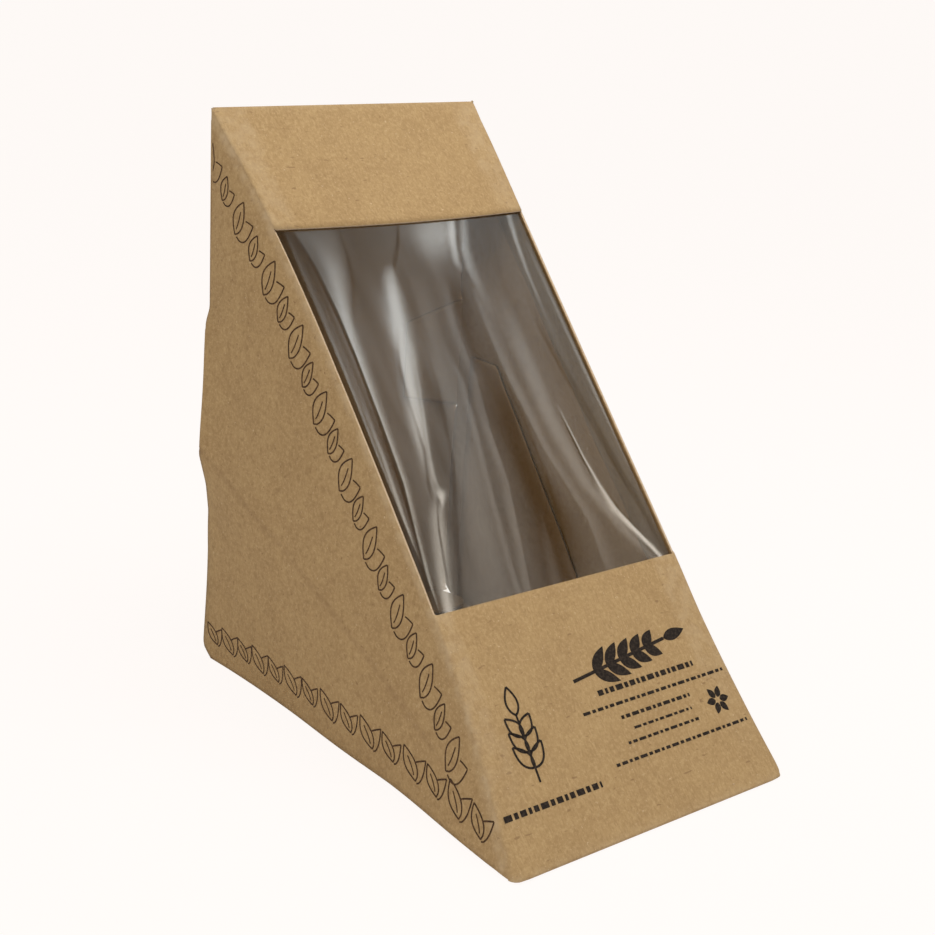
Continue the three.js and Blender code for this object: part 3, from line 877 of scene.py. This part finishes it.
def film_push(across, x, z):
    """How far the film stands in from its flat place, in millimetres."""
    down = (box_height - z) / rise
    open_share = clamp01((down - top_panel) / (slope_length - top_panel - bottom_panel))
    free = np.sin(math.pi * open_share) ** 0.8
    folds = film_sag * np.sin(math.pi * across)
    for name, height in film_relief.items():
        folds = folds + height * fold_sheen(name, x, down)
    folds = folds + 0.08 * np.sin(x * 0.55 + down * 0.12) + 0.03 * np.sin(x * 1.1 - down * 0.10 + 2.0)
    arch_end = box_height - arch_head
    glued = clamp01((arch_end - z) / (arch_end - window_head)) ** 2
    arch = top_panel_arch * np.minimum(glued, 1 - smooth(down, top_panel, top_panel + arch_run))
    return folds * free - arch * np.sin(math.pi * across) / rise


overlap_rise = film_overlap * rise
film_keys = [window_sill - overlap_rise, window_sill, window_head, window_head + overlap_rise]
film_points = np.array([
    level_row(z, film_stops, board + film_seat, film_corner, front_y(z) + film_leg + film_corner)
    for z in spaced(film_keys, film_step)
], dtype=float)
in_front = [index for index, stop in enumerate(film_stops) if stop[0] == "middle"]
across = np.array([film_stops[index][2] for index in in_front])
front_part = film_points[:, in_front]
film_points[:, in_front, 1] += film_push(across, front_part[..., 0], front_part[..., 2])

# The clear plastic lets light straight through and mirrors a share of it. The mirror's colour is
# painted by height: cool near the top for the room's cool light, and warm near the foot for the warm
# light off the table.
film_roughness = 0.14
plain_share = 0.037
edge_on_share = 0.25
least_share = 0.003
painted_sheen_gain = 2.0
clear_film, film_tree = new_material("clear_film")
film_place = object_place(film_tree)
film_noise = noise(film_tree, stretched(film_tree, film_place, (1.0, 0.12, 0.12)), 260, detail=2.0)
film_normal = relief_normal(film_tree, 0.03, 0.0004, film_noise)
facing = add(film_tree, "ShaderNodeLayerWeight", {"Blend": 0.5, "Normal": film_normal})["Facing"]


def film_gloss(colour):
    sockets = {"Color": colour, "Roughness": film_roughness, "Normal": film_normal}
    return add(film_tree, "ShaderNodeBsdfGlossy", sockets)["BSDF"]


# The mirror's painted tint, set by height: cool near the top and warm near the foot
painted_cool_gloss = film_gloss((0.98, 0.985, 0.96, 1))
painted_warm_gloss = film_gloss((1.0, 0.905, 0.78, 1))
cool_share_by_height = add(film_tree, "ShaderNodeSeparateXYZ", {"Vector": film_place})["Z"].ramp(0.045, 0.085)
film_mirror = mix_shader(film_tree, cool_share_by_height, painted_warm_gloss, painted_cool_gloss)
film_clear = add(film_tree, "ShaderNodeBsdfTransparent", {"Color": (0.96, 0.965, 0.95, 1)})["BSDF"]
# The share that the film mirrors: more where it is seen edge-on, varied a little by a noise, and raised or
# lowered along the folds by their painted sheen, which paints their highlights and dark streaks
film_share = (facing**4) * edge_on_share + plain_share + film_noise.ramp(0.3, 0.8) * 0.014
film_share = (film_share + attribute_value(film_tree, "sheen") * 0.5).math("MAXIMUM", least_share)
finish_material(film_tree, mix_shader(film_tree, film_share, film_clear, film_mirror))
film = sheet_object("film_sheet", film_points, lambda r, c: False, film_thickness, [clear_film])
x, y, z = mesh_places(film.data)
# The painted sheen of all the folds, with its bright streaks made stronger
sheen = sum(fold_sheen(name, x, (box_height - z) / rise) for name in film_folds)
set_attribute(film.data, "sheen", np.where(sheen > 0, sheen * painted_sheen_gain, sheen))
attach(film, "box")
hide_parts("window_film")


# The printed border: a chain of leaves in thin dark brown ink, along the slope and along the foot of
# each side panel. A large and a small pair of leaves are drawn flat, and Geometry Nodes sets them in
# turn along the path. The ink then takes the panel's form.
ink_wear_scale = 1900


def ink_material(name, worn, full):
    """Flexographic ink, a little worn away in specks."""
    material, tree = new_material(name)
    worn_away = noise(tree, object_place(tree), ink_wear_scale, detail=3.0).ramp(0.30, 0.62)
    finish_matt(tree, mix_colour(tree, worn_away, worn, full), 0.7, 0.3)
    return material


ink = ink_material("brown_ink", (0.125, 0.060, 0.022, 1), (0.055, 0.025, 0.010, 1))
line_width = 0.34
ink_height = 0.035
ink_thickness = 0.02


def ribbon(points, width):
    """A flat line of ink through points in a plane: its corners and faces."""
    points = np.array(points, dtype=float)
    along = np.gradient(points, axis=0)
    along /= np.linalg.norm(along, axis=1)[:, None]
    across = np.stack([-along[:, 1], along[:, 0]], axis=1) * width / 2
    corners = np.concatenate([points + across, points - across])
    count = len(points)
    faces = [(i, i + count, i + count + 1, i + 1) for i in range(count - 1)]
    return corners, faces


def leaf_side(base, tip, bulge, lean=0.8, cells=14):
    """One edge of a leaf, from its base to its tip, bulging to one side, most near the base or tip."""
    base, tip = np.array(base, dtype=float), np.array(tip, dtype=float)
    share = np.linspace(0, 1, cells + 1)
    across = np.array([-(tip - base)[1], (tip - base)[0]]) / np.linalg.norm(tip - base)
    swell = np.sin(math.pi * share**lean) ** 0.9 * bulge
    return base + (tip - base) * share[:, None] + across * swell[:, None]


def joined_mesh(name, shapes):
    """One flat mesh of many shapes, each given as its corners in a plane and its faces."""
    corners, faces = [], []
    for more_corners, more_faces in shapes:
        count = len(corners)
        corners += [(a, b, 0.0) for a, b in more_corners]
        faces += [tuple(i + count for i in face) for face in more_faces]
    mesh = bpy.data.meshes.new(name)
    mesh.from_pydata(corners, [], faces)
    return mesh


def leaf_pair(name, size, base, tip, widths, behind, behind_bulge):
    """A leaf with its vein, and a second one half hidden behind it. +X runs along the border."""
    base, tip = np.array(base), np.array(tip)
    start, corner, end = behind
    lines = [
        (leaf_side(base, tip, widths[0], 0.7), line_width),
        (leaf_side(base, tip, -widths[1], 1.1), line_width),
        (leaf_side(base * 0.78 + tip * 0.10, base * 0.15 + tip * 0.55, 0.18, cells=8), line_width * 0.85),
        (leaf_side(start, corner, -0.08, cells=6), line_width),
        (leaf_side(end, corner, behind_bulge, 0.68), line_width),
    ]
    mesh = joined_mesh(name, [ribbon(points * size, width) for points, width in lines])
    return bpy.data.objects.new(name, mesh)


def border_tree(first, second):
    """Sets the two leaf pairs in turn on the points of a path, each turned along it."""
    tree = bpy.data.node_groups.new("leaf_border", "GeometryNodeTree")
    tree.interface.new_socket("Path", in_out="INPUT", socket_type="NodeSocketGeometry")
    tree.interface.new_socket("Ink", in_out="INPUT", socket_type="NodeSocketMaterial")
    tree.interface.new_socket("Leaves", in_out="OUTPUT", socket_type="NodeSocketGeometry")
    given = add(tree, "NodeGroupInput")
    path = add(tree, "GeometryNodeMeshToCurve", {"Mesh": given["Path"]})["Curve"]
    tangent = add(tree, "GeometryNodeInputTangent")["Tangent"]
    turned = add(
        tree, "FunctionNodeAlignRotationToVector", {"Vector": tangent}, axis="X", pivot_axis="Z"
    )
    size = add(tree, "GeometryNodeInputNamedAttribute", {"Name": "size"}, data_type="FLOAT")
    motifs = tree.nodes.new("GeometryNodeGeometryToInstance")
    for motif in (second, first):
        shown = add(tree, "GeometryNodeObjectInfo", {"Object": motif})
        tree.links.new(shown["Geometry"].socket, motifs.inputs[0])
    index = add(tree, "GeometryNodeInputIndex")["Index"]
    placed = add(tree, "GeometryNodeInstanceOnPoints", {
        "Points": path,
        "Instance": Wire(tree, motifs.outputs[0]),
        "Pick Instance": True,
        "Instance Index": index.math("MODULO", 2),
        "Rotation": turned["Rotation"],
        "Scale": size["Attribute"],
    })
    solid = add(tree, "GeometryNodeRealizeInstances", {"Geometry": placed["Instances"]})["Geometry"]
    inked = add(tree, "GeometryNodeSetMaterial", {"Geometry": solid, "Material": given["Ink"]})
    end = tree.nodes.new("NodeGroupOutput")
    tree.links.new(inked["Geometry"].socket, end.inputs[0])
    return tree


def repeated_along(name, path, sizes, tree):
    """Runs the border's tree on a path in a plane, and returns the flat leaves as a mesh."""
    mesh = bpy.data.meshes.new(name)
    mesh.from_pydata([(a, b, 0.0) for a, b in path], [(i, i + 1) for i in range(len(path) - 1)], [])
    set_attribute(mesh, "size", sizes)
    host = new_object(name, mesh)
    chain = host.modifiers.new("leaf_border", "NODES")
    chain.node_group = tree
    for socket in tree.interface.items_tree:
        if socket.name == "Ink":
            chain[socket.identifier] = ink
    evaluated = host.evaluated_get(bpy.context.evaluated_depsgraph_get())
    flat = bpy.data.meshes.new_from_object(evaluated)
    bpy.data.objects.remove(host)
    return flat


def bent_onto(name, flat, place, flip):
    """Lays a flat print on the board: place turns its flat points, in mm, into points in space."""
    a, b, _ = mesh_places(flat) * MM
    laid = splayed(place(a, b)) * MM
    flat.vertices.foreach_set("co", np.ascontiguousarray(laid.ravel()))
    if flip:
        flat.flip_normals()
    printed = new_object(name, flat)
    layer = printed.modifiers.new("ink_layer", "SOLIDIFY")
    layer.thickness = ink_thickness * MM
    layer.offset = 1
    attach(printed, "box")
    return printed


def on_side(side):
    """Turns (y, z) into points on a side panel's face."""
    def place(y, z):
        y = np.clip(y, front_y(z) + fold_radius, raw_rear)
        return np.stack([side * ink_height + side_x(side, y, z), y, z], axis=1)

    return place


def on_front(x, down):
    """Turns places across and down the slope from the top edge into points on the front's face."""
    z = box_height - down * rise
    height = ink_height / slope_length
    return np.stack([x, front_y(z) - box_height * height, z + box_depth * height], axis=1)


slope_direction = np.array([box_depth, box_height]) / slope_length
slope_inwards = np.array([box_height, -box_depth]) / slope_length
slope_places = 26.3 + np.arange(19) * 7.38  # from the front's foot, up the slope
slope_insets = np.interp(
    slope_places, (26, 62, 83, 100, 111, 127, 137, 159), (7.8, 9.6, 8.8, 8.0, 7.2, 6.4, 7.0, 7.3)
)
slope_sizes = np.interp(slope_places, (120, 150), (1.0, 0.90))
slope_path = [
    np.array([-back, 0.0]) + slope_direction * share + slope_inwards * inset
    for share, inset in zip(slope_places, slope_insets)
]
foot_steps = [7.15] * 8 + [6.7, 6.6, 6.4, 6.2, 6.0, 5.9]
foot_places = -43.0 + np.cumsum([0.0] + foot_steps)  # along y
foot_heights = np.interp(foot_places, (-43, -36, -22, -7, 14, 34, 52), (6.0, 6.8, 7.4, 7.7, 7.6, 7.1, 6.5))
foot_sizes = np.interp(foot_places, (0, 50), (1.0, 0.92))
# Each motif: a leaf's base, tip and two bulges, and the half hidden leaf's corners and its bulge
slope_motif = ((-2.05, -3.33), (2.05, 3.33), (1.7, 1.95), ((-1.8, 1.4), (-3.95, 2.6), (-2.8, -3.2)), 2.1)
foot_motif = ((-2.5, -2.7), (2.5, 2.7), (1.7, 1.7), ((-1.5, 0.8), (-4.4, 2.5), (-2.9, -3.0)), 0.8)
slope_leaves = border_tree(
    leaf_pair("slope_large", 1.0, *slope_motif), leaf_pair("slope_small", 0.76, *slope_motif)
)
foot_leaves = border_tree(
    leaf_pair("foot_small", 0.87, *foot_motif), leaf_pair("foot_large", 1.0, *foot_motif)
)
foot_path = list(zip(foot_places, foot_heights))
chains = (
    ("slope", slope_path, slope_sizes, slope_leaves),
    ("foot", foot_path, foot_sizes, foot_leaves),
)
for side, label in ((-1, "left"), (1, "right")):
    for edge, path, sizes, tree in chains:
        flat_leaves = repeated_along(f"leaves_{label}_{edge}", path, sizes, tree)
        bent_onto(f"leaf_border_{label}_{edge}", flat_leaves, on_side(side), side < 0)


# The print on the strip below the window: a large sprig in solid ink over rows of short dashes with a
# small flower at their end, a sprig in outline on the left, and a row of dashes near the foot.
def filled_leaf(base, tip, bulge, cells=12):
    first = leaf_side(base, tip, bulge, cells=cells)
    second = leaf_side(base, tip, -bulge, cells=cells)
    faces = [(i, i + 1, i + cells + 2, i + cells + 1) for i in range(cells)]
    return np.concatenate([first, second]), faces


def sprig(root, tip, leaf_length, pairs, filled):
    """A stem with leaves in pairs and one at its end."""
    root, tip = np.array(root, dtype=float), np.array(tip, dtype=float)
    stem = tip - root
    along = stem / np.linalg.norm(stem)
    across = np.array([-along[1], along[0]])
    shapes = [ribbon([root + stem * t for t in np.linspace(0, 1, 8)], 0.7 if filled else 0.45)]
    leaf_ends = [(tip, tip + along * leaf_length)]
    for i in range(pairs):
        at = root + stem * (0.22 + 0.70 * i / pairs)
        size = leaf_length * (1.0 - 0.07 * i)
        for side in (-1, 1):
            leaf_ends.append((at, at + (along * 0.80 + across * 0.60 * side) * size))
    for base, end in leaf_ends:
        if filled:
            shapes.append(filled_leaf(base, end, leaf_length * 0.19))
        else:
            for bulge in (1, -1):
                shapes.append(ribbon(leaf_side(base, end, bulge * leaf_length * 0.24), 0.45))
    return shapes


def dashes(first, last, down, height, turn):
    """A row of short dashes of unequal length."""
    shapes, start, lengths = [], first, (1.4, 0.7, 1.1, 1.8, 0.9)
    while start < last:
        end = min(last, start + lengths[turn % 5])
        shapes.append(ribbon([(start, down), ((start + end) / 2, down), (end, down)], height))
        start, turn = end + 0.55, turn + 1
    return shapes


front_ink = ink_material("front_ink", (0.045, 0.030, 0.020, 1), (0.016, 0.010, 0.006, 1))
front_print = sprig((-22.0, 152.5), (-21.5, 139.5), 5.6, 3, False)
front_print += sprig((-5.5, 136.8), (21.0, 133.8), 6.4, 5, True)
for first, last, down, height in (
    (-1.0, 25.5, 140.4, 1.10),
    (-6.5, 32.5, 143.4, 0.62),
    (2.0, 21.0, 146.2, 0.72),
    (4.0, 20.0, 148.8, 0.50),
    (1.0, 20.5, 151.2, 0.55),
    (-4.0, 32.5, 154.4, 0.60),
):
    front_print += dashes(first, last, down, height, int(down))
front_print += dashes(-32.5, -9.0, 156.6, 1.15, 3)
for petal in range(6):
    turn = petal * math.pi / 3
    reach = np.array([math.cos(turn), math.sin(turn)])
    centre = np.array([27.5, 149.0])
    front_print.append(filled_leaf(centre + reach * 0.6, centre + reach * 3.1, 0.75))
front_mesh = joined_mesh("front_print", front_print)
front_mesh.materials.append(front_ink)
bent_onto("front_print", front_mesh, on_front, True)


# The floor, which is pale and plain, and keeps the box's soft shadow.
floor_mesh = bpy.data.meshes.new("floor")
floor_mesh.from_pydata([(-6, -6, 0), (6, -6, 0), (6, 6, 0), (-6, 6, 0)], [], [(0, 1, 2, 3)])
floor = new_object("floor", floor_mesh)
floor.location.z = -0.00005
pale, floor_tree = new_material("pale_floor")
seen = add(floor_tree, "ShaderNodeLightPath")["Is Camera Ray"]
floor_matt = add(floor_tree, "ShaderNodeBsdfDiffuse", {"Color": (0.80, 0.79, 0.78, 1)})["BSDF"]
floor_glow = add(floor_tree, "ShaderNodeEmission", {"Color": (1.043, 0.998, 0.968, 1), "Strength": 1.0})
finish_material(floor_tree, mix_shader(floor_tree, seen * 0.92, floor_matt, floor_glow["Emission"]))
floor.data.materials.append(pale)


# Soft studio light: a pale room all round, a large soft lamp above on the right and a weak one on the
# left. What the film mirrors is a room with paler and darker parts, so that its ripples show.
world = bpy.data.worlds.new("studio")
bpy.context.scene.world = world
world.use_nodes = True
world_tree = world.node_tree
world_tree.nodes.clear()
rays = add(world_tree, "ShaderNodeLightPath")
direction = add(world_tree, "ShaderNodeTexCoord")["Generated"]
parts = add(world_tree, "ShaderNodeSeparateXYZ", {"Vector": direction})
band = parts["X"].ramp(0.30, 0.62) * (1 - parts["X"].ramp(0.70, 0.98) * 0.6)
mirror_level = band * parts["Z"].ramp(-0.1, 0.8) + 0.12
room = mix_colour(world_tree, rays["Is Glossy Ray"], (0.47, 0.47, 0.48, 1), (1, 1, 1, 1))
glossy_strength = {0: rays["Is Glossy Ray"], 2: 1.0, 3: mirror_level}
room_strength = add(world_tree, "ShaderNodeMix", glossy_strength, data_type="FLOAT")["Result"]
room_light, room_seen = (
    add(world_tree, "ShaderNodeBackground", {"Color": colour, "Strength": strength})["Background"]
    for colour, strength in ((room, room_strength), ((1.0, 0.962, 0.937, 1), 1.0))
)
room_mix = mix_shader(world_tree, rays["Is Camera Ray"], room_light, room_seen)
add(world_tree, "ShaderNodeOutputWorld", {"Surface": room_mix})


def soft_lamp(name, place, width, height, watts, colour=(1, 1, 1)):
    lamp = new_object(name, bpy.data.lights.new(name, "AREA"))
    lamp.data.shape = "RECTANGLE"
    lamp.data.size = width
    lamp.data.size_y = height
    lamp.data.energy = watts
    lamp.data.color = colour
    lamp.location = place
    lamp.visible_glossy = False
    lamp.rotation_mode = "QUATERNION"
    lamp.rotation_quaternion = (Vector((0, 0, 0.06)) - Vector(place)).to_track_quat("-Z", "Y")


soft_lamp("key_lamp", (0.10, -0.08, 0.42), 0.27, 0.27, 0.93, (0.93, 0.97, 1.0))
soft_lamp("side_lamp", (-0.9, -0.35, 0.5), 0.4, 0.4, 2.0)
